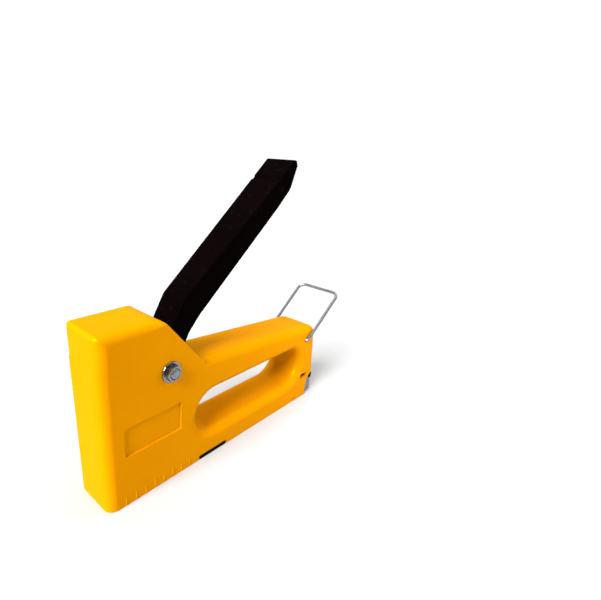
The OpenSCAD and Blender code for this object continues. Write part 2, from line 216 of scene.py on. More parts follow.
def slab(name, points, low, high, low_round=0, high_round=0, plane=SIDE, steps=6, limits=None):
    """An outline given thickness, its two rims rounded by one radius or a radius per point.

    limits, from corner_limits(), lets a rim be rounded by more than the corners it runs round."""
    points = [Vector(p) for p in points]
    moves = mitres(points)
    limits = limits or [(math.inf, m) for m in moves]
    low_round = low_round if isinstance(low_round, list) else [low_round] * len(points)
    high_round = high_round if isinstance(high_round, list) else [high_round] * len(points)

    def ring(radii, height, a):
        """One ring of a rim, at an angle round its section."""
        out = []
        for p, m, (limit, beyond), r in zip(points, moves, limits, radii):
            inwards = r * (1 - math.sin(a))
            p = p + m * min(inwards, limit) + beyond * max(0, inwards - limit)
            out.append(in_plane(plane, p, height(r * (1 - math.cos(a)))))
        return out

    rings = []
    for k in range(steps + 1) if max(low_round) else [steps]:
        rings.append(ring(low_round, lambda rise: low + rise, math.pi / 2 * k / steps))
    for k in range(steps, -1, -1) if max(high_round) else [steps]:
        rings.append(ring(high_round, lambda drop: high - drop, math.pi / 2 * k / steps))
    return from_rings(name, rings)


def block(name, low, high, bevel=0.0):
    """A box between two corners in millimetres, with rounded edges."""
    bm = bmesh.new()
    bmesh.ops.create_cube(bm, size=1)
    low, high = Vector(low), Vector(high)
    for v in bm.verts:
        v.co = Vector(((low[i] + high[i]) / 2 + v.co[i] * (high[i] - low[i])) * MM
                      for i in range(3))
    if bevel:
        bmesh.ops.bevel(bm, geom=bm.edges[:], offset=bevel * MM, segments=3, profile=0.5,
                        affect="EDGES")
    return new_object(name, bm)


def lathe(name, profile, matrix, steps=64):
    """A solid of revolution about the matrix's z axis; profile is a list of (radius, height)."""
    bm = bmesh.new()
    rings = []
    for radius, height in profile:
        if radius == 0:
            rings.append([bm.verts.new(matrix @ (Vector((0, 0, height)) * MM))])
            continue
        rings.append([
            bm.verts.new(matrix @ (Vector((radius * math.cos(t), radius * math.sin(t), height))
                                   * MM))
            for t in (2 * math.pi * i / steps for i in range(steps))
        ])
    for a, b in zip(rings, rings[1:]):
        for i in range(steps):
            j = (i + 1) % steps
            if len(a) == 1:
                bm.faces.new((a[0], b[j], b[i]))
            elif len(b) == 1:
                bm.faces.new((a[i], a[j], b[0]))
            else:
                bm.faces.new((a[i], a[j], b[j], b[i]))
    return new_object(name, bm)


def tube(name, path, radius, sides=12):
    """A round wire along a path in millimetres, with slightly rounded ends."""
    path = [Vector(p) for p in path]
    last = len(path) - 1
    along = [(path[min(i + 1, last)] - path[max(i - 1, 0)]).normalized() for i in range(last + 1)]
    out = along[0].orthogonal().normalized()
    rings = []
    for i, p in enumerate(path):
        out = (out - along[i] * out.dot(along[i])).normalized()
        side = along[i].cross(out)
        rings.append([
            (p + (out * math.cos(t) + side * math.sin(t)) * radius) * MM
            for t in (2 * math.pi * k / sides for k in range(sides))
        ])
    ends = []
    for ring, p, away in ((rings[0], path[0], -along[0]), (rings[-1], path[-1], along[-1])):
        ends.append([(p * MM) + (v - p * MM) * 0.6 + away * radius * 0.3 * MM for v in ring])
    return from_rings(name, [ends[0]] + rings + [ends[1]])


def rounded_path(points, radii, steps=8):
    """An open path in space with its inner corners rounded."""
    out = [Vector(points[0])]
    for i in range(1, len(points) - 1):
        out += corner_arc(points[i - 1], points[i], points[i + 1], radii[i - 1], steps)
    return out + [Vector(points[-1])]


def apply_modifiers(obj):
    """Replaces an object's mesh by what its modifiers make of it."""
    graph = bpy.context.evaluated_depsgraph_get()
    mesh = bpy.data.meshes.new_from_object(obj.evaluated_get(graph))
    obj.modifiers.clear()
    old = obj.data
    obj.data = mesh
    bpy.data.meshes.remove(old)


def combine(target, tools, operation="DIFFERENCE"):
    """Cuts the tools from the target, or joins or intersects them, and removes the tools."""
    for tool in tools:
        boolean = target.modifiers.new("cut", "BOOLEAN")
        boolean.operation = operation
        boolean.solver = "MANIFOLD"
        boolean.object = tool
        apply_modifiers(target)
        mesh = tool.data
        bpy.data.objects.remove(tool)
        bpy.data.meshes.remove(mesh)
    return target


def mirrored(obj):
    """Moves a piece built on the left to the right of the centre plane."""
    obj.data.transform(Matrix.Scale(-1, 4, Vector((0, 1, 0))))
    obj.data.flip_normals()
    return obj


def at_rest(obj):
    """Turns a piece drawn beside the pivot, lever squeezed, to the raised rest position."""
    place = Matrix.Translation(Vector((PIVOT[0], 0, PIVOT[1])) * MM)
    obj.data.transform(place @ Matrix.Rotation(LEVER_SWING, 4, "Y"))
    return obj


def facing_left(place, y):
    """A frame whose z axis points to the gun's left, from a distance y off the centre plane."""
    return (Matrix.Translation(Vector((place[0], y, place[1])) * MM)
            @ Matrix.Rotation(math.radians(-90), 4, "X"))


def facing_right(place, y):
    """A frame whose z axis points to the gun's right, from a distance y off the centre plane."""
    return (Matrix.Translation(Vector((place[0], y, place[1])) * MM)
            @ Matrix.Rotation(math.radians(90), 4, "X"))


def facing_back(height):
    """A frame whose z axis points to the heel, at a height on the centre plane."""
    return (Matrix.Translation(Vector((0, 0, height)) * MM)
            @ Matrix.Rotation(math.radians(-90), 4, "Y"))


def smooth(obj, angle=32):
    """Smooth shading with sharp edges kept where faces meet at more than an angle."""
    bm = bmesh.new()
    bm.from_mesh(obj.data)
    bmesh.ops.remove_doubles(bm, verts=bm.verts, dist=2e-7)
    bmesh.ops.dissolve_degenerate(bm, dist=1e-7, edges=bm.edges)
    limit = math.radians(angle)
    for face in bm.faces:
        face.smooth = True
    for edge in bm.edges:
        edge.smooth = len(edge.link_faces) == 2 and edge.calc_face_angle(0) < limit
    bm.to_mesh(obj.data)
    bm.free()
    weighted = obj.modifiers.new("weighted normals", "WEIGHTED_NORMAL")
    weighted.keep_sharp = True
    weighted.mode = "FACE_AREA"
    return obj


# ---- Materials -----------------------------------------------------------------------


class Shader:
    """A node material built around one Principled shader."""

    def __init__(self, name, **sockets):
        self.material = bpy.data.materials.new(name)
        self.material.use_nodes = True
        self.tree = self.material.node_tree
        self.shader = self.tree.nodes["Principled BSDF"]
        self.place = self.tree.nodes.new("ShaderNodeTexCoord").outputs["Object"]
        for socket, value in sockets.items():
            self.shader.inputs[socket.replace("_", " ")].default_value = value

    def link(self, out, socket):
        self.tree.links.new(out, socket)

    def stretched(self, scale):
        mapping = self.tree.nodes.new("ShaderNodeMapping")
        mapping.inputs["Scale"].default_value = scale
        self.link(self.place, mapping.inputs["Vector"])
        return mapping.outputs["Vector"]

    def noise(self, scale, detail=3.0, stretch=None):
        node = self.tree.nodes.new("ShaderNodeTexNoise")
        node.inputs["Scale"].default_value = scale
        node.inputs["Detail"].default_value = detail
        self.link(self.stretched(stretch) if stretch else self.place, node.inputs["Vector"])
        return node.outputs["Fac"]

    def ramp(self, value, stops):
        """stops are (position, number or colour); gives a colour."""
        node = self.tree.nodes.new("ShaderNodeValToRGB")
        elements = node.color_ramp.elements
        while len(elements) < len(stops):
            elements.new(0.5)
        for element, (position, colour) in zip(elements, stops):
            element.position = position
            if isinstance(colour, (int, float)):
                colour = (colour, colour, colour)
            element.color = (*colour, 1)
        self.link(value, node.inputs["Fac"])
        return node.outputs["Color"]

    def mix(self, factor, a, b):
        node = self.tree.nodes.new("ShaderNodeMix")
        node.data_type = "RGBA"
        for value, socket in ((factor, node.inputs[0]), (a, node.inputs[6]), (b, node.inputs[7])):
            if hasattr(value, "links"):
                self.link(value, socket)
            else:
                socket.default_value = (*value, 1) if isinstance(value, tuple) else value
        return node.outputs[2]

    def math(self, operation, a, b):
        node = self.tree.nodes.new("ShaderNodeMath")
        node.operation = operation
        for value, socket in zip((a, b), node.inputs):
            if hasattr(value, "links"):
                self.link(value, socket)
            else:
                socket.default_value = value
        return node.outputs[0]

    def colour(self, out):
        self.link(out, self.shader.inputs["Base Color"])

    def roughness(self, out):
        self.link(out, self.shader.inputs["Roughness"])

    def bump(self, height, distance, strength=1.0):
        node = self.tree.nodes.new("ShaderNodeBump")
        node.inputs["Strength"].default_value = strength
        node.inputs["Distance"].default_value = distance
        if self.shader.inputs["Normal"].links:
            self.link(self.shader.inputs["Normal"].links[0].from_socket, node.inputs["Normal"])
        self.link(height, node.inputs["Height"])
        self.link(node.outputs["Normal"], self.shader.inputs["Normal"])


def scratches(s, scale, stretch):
    """A mask of fine straight marks."""
    return s.ramp(s.noise(scale, 2.0, stretch), [(0.62, 0.0), (0.7, 1.0)])


def yellow_plastic():
    """Glossy moulded plastic: faint clouding, few scratches and a fine orange-peel skin."""
    s = Shader("yellow_plastic", Metallic=0.14, IOR=1.5, Specular_IOR_Level=0.003,
               Subsurface_Weight=0.1, Subsurface_Scale=0.0015)
    s.shader.inputs["Subsurface Radius"].default_value = (1.0, 0.45, 0.08)
    s.shader.inputs["Specular Tint"].default_value = (1.0, 0.62, 0.02, 1)
    cloud = s.noise(22, 3)
    tone = s.ramp(cloud, [(0.3, (0.58, 0.216, 0.0003)), (0.7, (0.62, 0.234, 0.0005))])
    marks = scratches(s, 60, (1, 9, 9))
    s.colour(s.mix(s.math("MULTIPLY", marks, 0.05), tone, (0.75, 0.34, 0.002)))
    haze = s.ramp(s.noise(90, 4), [(0.3, 0.30), (0.7, 0.38)])
    s.roughness(s.math("ADD", haze, s.math("MULTIPLY", marks, 0.06)))
    s.bump(s.noise(2600, 2), 0.00002, 0.2)
    s.bump(s.noise(45, 1), 0.0002, 0.06)
    return s.material


def black_plastic(name, colour, roughness):
    """Moulded black plastic with dust in its grain and rubbed, rougher marks."""
    s = Shader(name, IOR=1.5, Specular_IOR_Level=0.0015)
    cloud = s.noise(30, 3)
    dust = s.ramp(s.noise(420, 5), [(0.6, 0.0), (0.85, 1.0)])
    light = tuple(c * 1.5 for c in colour)
    s.colour(s.mix(s.math("MULTIPLY", dust, 0.2), s.ramp(cloud, [(0.3, colour), (0.7, light)]),
                   tuple(c + 0.012 for c in colour)))
    marks = scratches(s, 70, (1, 10, 2))
    base = s.ramp(s.noise(60, 4), [(0.3, roughness - 0.05), (0.7, roughness + 0.07)])
    s.roughness(s.math("ADD", base, s.math("MULTIPLY", marks, 0.12)))
    s.bump(s.noise(2200, 2), 0.00003, 0.35)
    return s.material


def metal(name, colour, roughness, grain=(1, 1, 1), grain_scale=900, spots=0.2):
    """Bare or plated steel: drawn or rolled grain, clouded plating and dull spots."""
    s = Shader(name, Metallic=1.0)
    dark = tuple(c * 0.72 for c in colour)
    cloud = s.ramp(s.noise(160, 4), [(0.35, 0.0), (0.75, 1.0)])
    tarnish = s.ramp(s.noise(520, 5), [(0.55, 0.0), (0.75, 1.0)])
    s.colour(s.mix(s.math("MULTIPLY", s.math("MAXIMUM", tarnish, cloud), spots), colour, dark))
    lines = s.noise(grain_scale, 3, grain)
    s.roughness(s.ramp(lines, [(0.3, max(0.04, roughness - 0.09)), (0.7, roughness + 0.1)]))
    s.bump(lines, 0.00001, 0.6)
    return s.material


def rubber():
    """Dull black rubber with a dusty, pitted surface."""
    s = Shader("rubber", IOR=1.5)
    s.colour(s.ramp(s.noise(300, 4), [(0.3, (0.018, 0.018, 0.018)), (0.7, (0.035, 0.034, 0.033))]))
    s.roughness(s.ramp(s.noise(500, 3), [(0.3, 0.65), (0.7, 0.85)]))
    s.bump(s.noise(1500, 3), 0.00005, 0.5)
    return s.material


MATERIALS = {
    "body_plastic": yellow_plastic(),
    "lever_plastic": black_plastic("lever_black", (0.0011, 0.0005, 0.0005), 0.36),
    "black_plastic": black_plastic("insert_black", (0.004, 0.0038, 0.0038), 0.5),
    "bright_steel": metal("bright_steel", (0.25, 0.255, 0.265), 0.2, spots=0.3),
    "zinc_screw": metal("zinc_screw", (0.42, 0.43, 0.45), 0.26, spots=0.35),
    "zinc_sheet": metal("zinc_sheet", (0.23, 0.235, 0.24), 0.34, (1, 14, 14), 300, 0.4),
    "plain_steel": metal("plain_steel", (0.50, 0.50, 0.51), 0.38, (14, 14, 1), 300, 0.45),
    "spring_steel": metal("spring_steel", (0.40, 0.40, 0.42), 0.3, (1, 1, 1), 1200, 0.4),
    "bail_wire": metal("bail_wire", (0.33, 0.35, 0.37), 0.28, (6, 6, 1), 500, 0.35),
    "bumper_rubber": rubber(),
}


def piece(obj, node, body, slot_name, angle=32):
    """Finishes a piece that stands for one CAD node."""
    smooth(obj, angle)
    obj.data.materials.clear()
    obj.data.materials.append(MATERIALS[slot_name])
    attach(obj, body)
    if node:
        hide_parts(node)
    return obj


# ---- Housing -------------------------------------------------------------------------

WALL = 2.2
SIDE_WALL = 1.85
INNER_HALF = HALF_WIDTH - SIDE_WALL
# The shell is drawn down to this height and then cut off level at the sole
BELOW = -9.0
FRONT_STEP = ((NOSE - 0.65, 70), (NOSE - 1, 71.4))
HEAD_FRONT = (NOSE - 1.13, HEAD_HEIGHT)
HEEL_LEAN = 4.8
HEEL_FOOT = (HEEL, 17.2)
HEEL_NOTCH = (-145.2, 12.6)
SLOPE_TOP = (-26.6, HEAD_HEIGHT)
SLOPE_FOOT = (-49.2, 59.5)
GRIP_START = (-51.0, 59.33)
GRIP_END = (HEEL + HEEL_LEAN, 50.45)
# How far the heel's lean is carried on at the height of BELOW, as a share of the lean
LEAN_BELOW = 0.788
HEEL_BELOW = (HEEL - HEEL_LEAN * LEAN_BELOW, BELOW)
WINDOW_ENDS = (-59.55, -123.05)
WINDOW_HEIGHT = 26.75
WINDOW_RADIUS = 12.3
WINDOW_ROUND = 4.6
FAR_WINDOW_ROUND = 5.8
SCREWS = ((-4.4, 78.1), (-49.5, 49.5), (-37.3, 18.7), (-5.2, 18.8))
BOSS_RADIUS = 3
PIVOT_BOSS_RADIUS = 6
# The bush stands this far out of the lever on each side
BUSH_STAND = 0.3
LEVER_HALF = high_corner("pivot_bush").y - BUSH_STAND
LEVER_TIP_HALF = high_corner("handle_lever").y
RIBS = (-16, -32, -78, -96, -114, -128)
RIB_INNER = 7
RIB_SHEET = 2
RIB_TOP = 12.8
SLOT_START = 0.33
SLOT_REACH = 4
SLOT_RISE, SLOT_DROP = 10, 5
SOLE_SLOT = (-145, NOSE - 2.6)
SOLE_SLOT_HALF = 7.1
HEEL_OPENING_FRONT, HEEL_OPENING_TOP = -135, 18.6
CATCH_WINDOW = ((-144.3, 14.4), (-137.7, 18.0))
LABEL_PANEL = ((-36.3, 26.7), (-5.0, 41.7))
BRIDGE_RECESS = ((-68.8, 7, -1), (-48.7, HALF_WIDTH + 1, 2.6))
MOULD_PIP = (-130.6, 4.6)
BAIL_HOLE, BOLT_HOLE = 1.05, 2.6
SCREW_HOLE, SCREW_BITE = 1.45, 1.35
SCREW_REACH = 9
SCREW_SINK = 1.2
SEAM_ROUND = 0.12


def stadium(radius, steps=40):
    """The finger window's outline at a given end radius, counter-clockwise."""
    out = []
    for centre, start in ((WINDOW_ENDS[0], -90), (WINDOW_ENDS[1], 90)):
        for i in range(steps + 1):
            a = math.radians(start + 180 * i / steps)
            out.append(Vector((centre + radius * math.cos(a),
                               WINDOW_HEIGHT + radius * math.sin(a))))
    return out


def window_cutter(rim_round):
    """The finger window with its rim flared into a round."""
    steps = 10
    rings = [(-1, WINDOW_RADIUS)]
    for k in range(steps + 1):
        a = math.radians(88) * k / steps
        rings.append((HALF_WIDTH - rim_round * (1 - math.sin(a)),
                      WINDOW_RADIUS + rim_round * (1 - math.cos(a))))
    rings.append((HALF_WIDTH + 1, rings[-1][1] + 0.05))
    return from_rings("cutter", [
        [in_plane(SIDE, p, y) for p in stadium(r)] for y, r in rings
    ])


def cavity_tool():
    """The space inside one half shell, with its walls, ribs and screw bosses left standing."""
    corners = [(NOSE, 0), *FRONT_STEP, HEAD_FRONT, SLOPE_TOP, SLOPE_FOOT, GRIP_END,
               HEEL_FOOT, HEEL_NOTCH, (HEEL_NOTCH[0], 0)]
    radii = [0.5, 0, 0, 2, 3, 2, 3, 0.5, 0.5, 0.5]
    cavity = slab("cavity", rounded(inset(corners, WALL), radii), -1, INNER_HALF)
    keep = [slab("kept", stadium(WINDOW_RADIUS + WALL), -2, HALF_WIDTH)]
    keep += [slab("kept", circle(s, BOSS_RADIUS), -2, HALF_WIDTH) for s in SCREWS]
    keep += [block("kept", (x, RIB_INNER, -1), (x + RIB_SHEET, HALF_WIDTH, RIB_TOP)) for x in RIBS]
    boss_gap = 0.6
    keep.append(slab("kept", circle(PIVOT, PIVOT_BOSS_RADIUS), LEVER_HALF + boss_gap, HALF_WIDTH))
    return combine(cavity, keep)


def label_tool():
    """A shallow plain panel with sloping sides, sunk into the flank."""
    low, high = LABEL_PANEL
    depth, slope, corner, flare_out = 0.9, 0.25, 0.5, 0.4
    floor = rounded(rectangle((low[0] + slope, low[1] + slope),
                              (high[0] - slope, high[1] - slope)), [corner] * 4, 4)
    brim = rounded(rectangle(low, high), [corner + slope] * 4, 4)
    above = rounded(rectangle((low[0] - flare_out, low[1] - flare_out),
                              (high[0] + flare_out, high[1] + flare_out)),
                    [corner + flare_out + slope] * 4, 4)
    return from_rings("cutter", [
        [in_plane(SIDE, p, HALF_WIDTH - depth) for p in floor],
        [in_plane(SIDE, p, HALF_WIDTH) for p in brim],
        [in_plane(SIDE, p, HALF_WIDTH + 1) for p in above],
    ])


def mould_ticks():
    """Fine upright ridges left by the mould along the bottom edge, every other one longer."""
    first, pitch, half, proud = -4, 5.4, 0.45, 0.25
    bottom, top, longer = 0.3, 4.3, 1.2
    root = HALF_WIDTH - 0.1
    out = []
    for k in range(8):
        x = first - pitch * k
        ridge = [(x - half, root), (x + half, root), (x, HALF_WIDTH + proud)]
        out.append(slab("tool", ridge, bottom, top + longer * (k % 2), plane=PLAN))
    return out


def mould_pip():
    """A small round pip left by the mould near the heel."""
    profile = [(0, -0.3), (1.7, -0.3), (1.7, 0.02), (1.45, 0.3), (0.9, 0.55), (0, 0.62)]
    return lathe("tool", profile, facing_left(MOULD_PIP, HALF_WIDTH), 32)


def front_flute():
    """A shallow hollow down the front, narrow at the top, sinking to a sharp outer edge."""
    outer, steps = 8.3, 8
    # Height, distance of the inner edge off the centre plane, and depth at the outer edge
    sections = ((19.5, 1.0, 0.02), (25, 1.7, 1.1), (66, 6.7, 0.95), (69.8, 7.3, 0.02))
    rings = []
    for z, inner, depth in sections:
        floor_line = [(NOSE - depth * (i / steps) ** 3, inner + (outer - inner) * i / steps)
                      for i in range(steps + 1)]
        rings.append([Vector((x, y, z)) * MM for x, y in
                      floor_line + [(NOSE + 1, outer), (NOSE + 1, inner - 1)]])
    return from_rings("tool", rings)


def lever_slot():
    """The opening in the slope that the lever comes out of."""
    along = (Vector(SLOPE_FOOT) - Vector(SLOPE_TOP)).normalized()
    out = Vector((along.y, -along.x)) * SLOT_REACH
    front = Vector(SLOPE_TOP).lerp(Vector(SLOPE_FOOT), SLOT_START)
    gap = 0.8
    back = SLOPE_FOOT[0] - gap
    outline = [front - out, front + out, (back, PIVOT[1] + SLOT_RISE),
               (back, PIVOT[1] - SLOT_DROP)]
    return slab("tool", outline, -1, LEVER_HALF + gap)


def shell_openings(right):
    """What is cut from either half shell; only the window's rim differs between them."""
    far = HALF_WIDTH + 1
    behind = HEEL - 5
    foot = [(behind, -1), (HEEL_NOTCH[0], -1), HEEL_NOTCH, HEEL_FOOT, (behind, HEEL_FOOT[1])]
    return [
        block("tool", (behind, -2, BELOW - 5), (NOSE + 5, far, 0)),
        slab("tool", foot, -2, far),
        cavity_tool(),
        window_cutter(FAR_WINDOW_ROUND if right else WINDOW_ROUND),
        lever_slot(),
        block("tool", (SOLE_SLOT[0], -1, -1), (SOLE_SLOT[1], SOLE_SLOT_HALF, WALL + 0.1)),
        block("tool", (HEEL - 1, -1, -1), (HEEL_OPENING_FRONT, INNER_HALF, HEEL_OPENING_TOP)),
        slab("tool", rounded(rectangle(*CATCH_WINDOW), [0.4] * 4, 3), INNER_HALF - 1, far),
        label_tool(),
        block("tool", *BRIDGE_RECESS),
        slab("tool", circle(BAIL_PIVOT, BAIL_HOLE), INNER_HALF - 1, far),
        slab("tool", circle(PIVOT, BOLT_HOLE), LEVER_HALF, far),
    ]


def half_shell(right):
    """One half of the housing, drawn on the left and mirrored for the right."""
    corners = [(NOSE, BELOW), *FRONT_STEP, HEAD_FRONT, SLOPE_TOP, SLOPE_FOOT, GRIP_START,
               GRIP_END, HEEL_BELOW]
    radii = [5.2, 0, 0, 2, 9, 3, 0, 5.6, 4]
    # Rim rounds along: the front in three parts, the head's top, the slope and its foot,
    # the grip's top, the heel, and the bottom edge that is cut off
    rounds = edge_values(corners, radii, [4.8, 4.8, 4.8, 4.2, 0.8, 0.8, 4.8, 3.0, 3.0])
    shell = slab("shell", rounded(corners, radii), 0, HALF_WIDTH, SEAM_ROUND, rounds, steps=8,
                 limits=corner_limits(corners, radii))
    tools = shell_openings(right)
    marks = []
    if right:
        tools += [slab("tool", circle(s, SCREW_HOLE), -1, HALF_WIDTH + 1) for s in SCREWS]
        tools += [counterbore(s) for s in SCREWS]
    else:
        tools.append(front_flute())
        tools += [slab("tool", circle(s, SCREW_BITE), -1, SCREW_REACH) for s in SCREWS]
        marks = [*mould_ticks(), mould_pip()]
    combine(shell, tools)
    combine(shell, marks, "UNION")
    if right:
        mirrored(shell)
    shell.name = "shell_right" if right else "shell_left"
    piece(shell, "housing_right" if right else "housing_left", "body", "body_plastic")


def counterbore(centre):
    """The sunk seat of a screw head, its rim slightly rounded."""
    radius = BOSS_RADIUS - 0.1
    profile = [(0, -SCREW_SINK), (radius, -SCREW_SINK), (radius, -0.25), (radius + 0.08, -0.09),
               (radius + 0.25, 0), (radius + 0.5, 0.8), (0, 0.8)]
    return lathe("tool", profile, facing_left(centre, HALF_WIDTH), 40)


half_shell(False)
half_shell(True)

# ---- Fasteners -----------------------------------------------------------------------


def dome(radius, edge, height, base=0.0, steps=8):
    """Profile of a domed head: flat underside, short straight edge, elliptical top."""
    out = [(0, base), (radius - 0.15, base), (radius, base + 0.15)]
    for i in range(steps):
        a = math.pi / 2 * i / steps
        out.append((radius * math.cos(a), base + edge + (height - edge) * math.sin(a)))
    return out + [(0, base + height)]


def screw(centre, angle):
    """A cross-head screw with a pointed shank, its cross turned by an angle."""
    radius, edge, height = 2.6, 0.6, 1.8
    cross_half, cross_floor, cross_thickness = 1.7, 0.75, 0.36
    shank_radius, point = 1.3, 1.2
    seat = HALF_WIDTH - SCREW_SINK
    here = facing_right(centre, -seat) @ Matrix.Rotation(math.radians(angle), 4, "Z")
    head = lathe("screw", dome(radius, edge, height), here, 40)
    for turn in (0, 90):
        cross = rectangle((-cross_half, -cross_thickness), (cross_half, cross_thickness))
        slot = slab("tool", rounded(cross, [0.3] * 4, 3), cross_floor, 3, plane=PLAN)
        slot.data.transform(here @ Matrix.Rotation(math.radians(turn), 4, "Z"))
        combine(head, [slot])
    end = -seat - high_corner("housing_screws").y
    profile = [(0, end), (0.4, end), (shank_radius, end + point), (shank_radius, 0.3), (0, 0.3)]
    return combine(head, [lathe("tool", profile, here, 32)], "UNION")


def screws():
    """All four screws as one piece, each stopped at another angle."""
    first, *others = [screw(centre, 17 + 31 * k) for k, centre in enumerate(SCREWS)]
    combine(first, others, "UNION")
    first.name = "screws"
    piece(first, "housing_screws", "body", "zinc_screw")


BOLT_RADIUS = 2.5


def pivot_bolt():
    """Domed head on the right, and a thread at the end that stands out of the nut."""
    head_radius, head_edge = 4.3, 0.7
    head_height = -low_corner("pivot_bolt").y - HALF_WIDTH
    length = high_corner("pivot_bolt").y + HALF_WIDTH
    root_radius, turns, pitch, runout = 2.32, 9, 0.5, 0.75
    profile = [(0, -length), (1.75, -length), (2.0, -length + 0.12), (2.42, -length + 0.6)]
    for i in range(turns):
        z = -length + runout + i * pitch
        profile += [(BOLT_RADIUS, z), (root_radius, z + pitch / 2)]
    profile += [(BOLT_RADIUS, profile[-1][1] + pitch), (BOLT_RADIUS, 0)]
    profile += dome(head_radius, head_edge, head_height, steps=12)[1:]
    bolt = lathe("bolt", profile, facing_right(PIVOT, -HALF_WIDTH))
    piece(bolt, "pivot_bolt", "body", "bright_steel", 40)


def pivot_washer():
    sheet = high_corner("pivot_washer").y - HALF_WIDTH
    bore, chamfer = 2.6, 0.08
    rim = (high_corner("pivot_washer").x - low_corner("pivot_washer").x) / 2
    rim_chamfer = 0.1
    profile = [(bore, chamfer), (bore + chamfer, 0), (rim - rim_chamfer, 0), (rim, rim_chamfer),
               (rim, sheet - 0.12), (rim - rim_chamfer, sheet), (bore + chamfer, sheet),
               (bore, sheet - chamfer), (bore, chamfer)]
    washer = lathe("washer", profile, facing_left(PIVOT, HALF_WIDTH))
    piece(washer, "pivot_washer", "body", "bright_steel", 40)


def pivot_nut():
    """A hexagon with its corners turned off in a cone at both faces."""
    flats, bore = 7, 2.55
    seat = high_corner("pivot_washer").y
    height = high_corner("pivot_nut").y - seat
    here = facing_left(PIVOT, seat)
    outline = circle((0, 0), flats / 2 / math.cos(math.radians(30)), 6)
    nut = slab("nut", outline, 0, height, plane=PLAN)
    nut.data.transform(here)
    face, waist, slope = 3.4, 4.06, 0.42
    cone = lathe("tool", [(0, -0.01), (face, -0.01), (waist, slope), (waist, height - slope),
                       (face, height + 0.01), (0, height + 0.01)], here)
    combine(nut, [cone], "INTERSECT")
    countersink = bore + 0.3
    hole = lathe("tool", [(0, -1), (bore, -1), (bore, height - 0.3), (countersink, height + 0.02),
                       (countersink, height + 1), (0, height + 1)], here)
    combine(nut, [hole])
    piece(nut, "pivot_nut", "body", "bright_steel", 20)


screws()
pivot_bolt()
pivot_washer()
pivot_nut()

# ---- Lever ---------------------------------------------------------------------------

LEVER_WALL = 1.7
LEVER_ROOF = 2.2
LEVER_BEND = 27
HUB_RADIUS = 8.3
LEVER_LENGTH = 117.98
# The groove that the bail hooks over when the gun is stored
GROOVE = (-(LEVER_LENGTH - 14.4), 17.2)
GROOVE_RADIUS = 2.1
BUSH_BORE, RIVET_BORE = 4.03, 1.53
CLAW_TAIL = (-12.5, 3)
HUB_GAP = 0.8
STIFFENERS = (48, 66, 84, 100)
STIFFENER_SHEET = 1.6


def flare(obj):
    """Widens the lever evenly from the bend to its tip."""
    bm = bmesh.new()
    bm.from_mesh(obj.data)
    for x in (-LEVER_BEND, -50, -72, -94):
        bmesh.ops.bisect_plane(bm, geom=bm.verts[:] + bm.edges[:] + bm.faces[:], dist=1e-7,
                               plane_co=(x * MM, 0, 0), plane_no=(1, 0, 0))
    gain = (LEVER_TIP_HALF / LEVER_HALF - 1) / (LEVER_LENGTH - LEVER_BEND)
    for v in bm.verts:
        v.co.y *= 1 + gain * max(0, -v.co.x / MM - LEVER_BEND)
    bm.to_mesh(obj.data)
    bm.free()


def lever():
    """Drawn beside the pivot with the lever squeezed, then turned up to rest."""
    corners = [(-LEVER_LENGTH + 0.8, 12.8), (-107.5, 6.6), (-95, 5.2), (-29.7, 1.4), (-20, -0.2),
               (-12, -3.8), (-5, -6.6), (0, 0), (0, HUB_RADIUS), (-14, 9.9), (-LEVER_BEND, 14.9),
               (-LEVER_LENGTH, 16.3)]
    radii = [0.8, 8, 20, 12, 6, 4, 0, 0, 0, 3, 6, 1.2]
    inner = LEVER_HALF - LEVER_WALL
    edge = 0.6
    body = slab("lever", rounded(corners, radii), -LEVER_HALF, LEVER_HALF, edge, edge, steps=5)
    hub = slab("tool", circle((0, 0), HUB_RADIUS, 72), -LEVER_HALF, LEVER_HALF, edge, edge, steps=5)
    combine(body, [hub], "UNION")
    roof = inset(corners, LEVER_ROOF)
    below, ahead = -15, -6
    channel_outline = [roof[11], (roof[11].x, below), (ahead, below), (ahead, roof[9].y),
                       roof[9], roof[10]]
    hollow = slab("tool", channel_outline, -inner, inner)
    # Cross ribs inside the channel
    ribs = [block("kept", (-s, -20, 7.5), (-s + STIFFENER_SHEET, 20, 18)) for s in STIFFENERS]
    combine(hollow, ribs)
    across = LEVER_HALF + 1
    tools = [
        hollow,
        slab("tool", circle((0, 0), HUB_RADIUS + HUB_GAP, 72), -inner, inner),
        slab("tool", circle(GROOVE, GROOVE_RADIUS, 40), -across, across),
        slab("tool", circle((0, 0), BUSH_BORE, 48), -across, across),
        slab("tool", circle(CLAW_TAIL, RIVET_BORE, 32), -across, across),
    ]
    combine(body, tools)
    flare(body)
    piece(at_rest(body), "handle_lever", "lever", "lever_plastic")


lever()

# ---- Springs -------------------------------------------------------------------------


def coil(turns, steps_per_turn, low, high, closed):
    """Angle and height along a compression spring with closed end coils."""
    steps = round(turns * steps_per_turn)
    out = []
    for i in range(steps + 1):
        share = i / steps
        rise = max(0, min(1, (share - closed) / (1 - 2 * closed)))
        out.append((share * turns * 2 * math.pi, low + (high - low) * rise))
    return out


def power_spring():
    wire, radius, centre = 0.85, 5.35, -7
    low, high = low_corner("power_spring").z, high_corner("power_spring").z
    path = [(centre + radius * math.cos(a), radius * math.sin(a), z)
            for a, z in coil(6.5, 32, low + wire, high - wire, 0.12)]
    spring = piece(tube("power_coil", path, wire, 12), "power_spring", "body", "spring_steel", 60)
    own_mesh(spring)


def pusher_spring():
    wire, radius = 0.3, 2.4
    low, high = low_corner("pusher_spring").x, high_corner("pusher_spring").x
    path = [(x, radius * math.cos(a), ROD_HEIGHT + radius * math.sin(a))
            for a, x in coil(34, 16, high - wire, low + wire, 0.02)]
    spring = piece(tube("pusher_coil", path, wire, 8), "pusher_spring", "drawer",
                   "spring_steel", 60)
    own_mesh(spring)


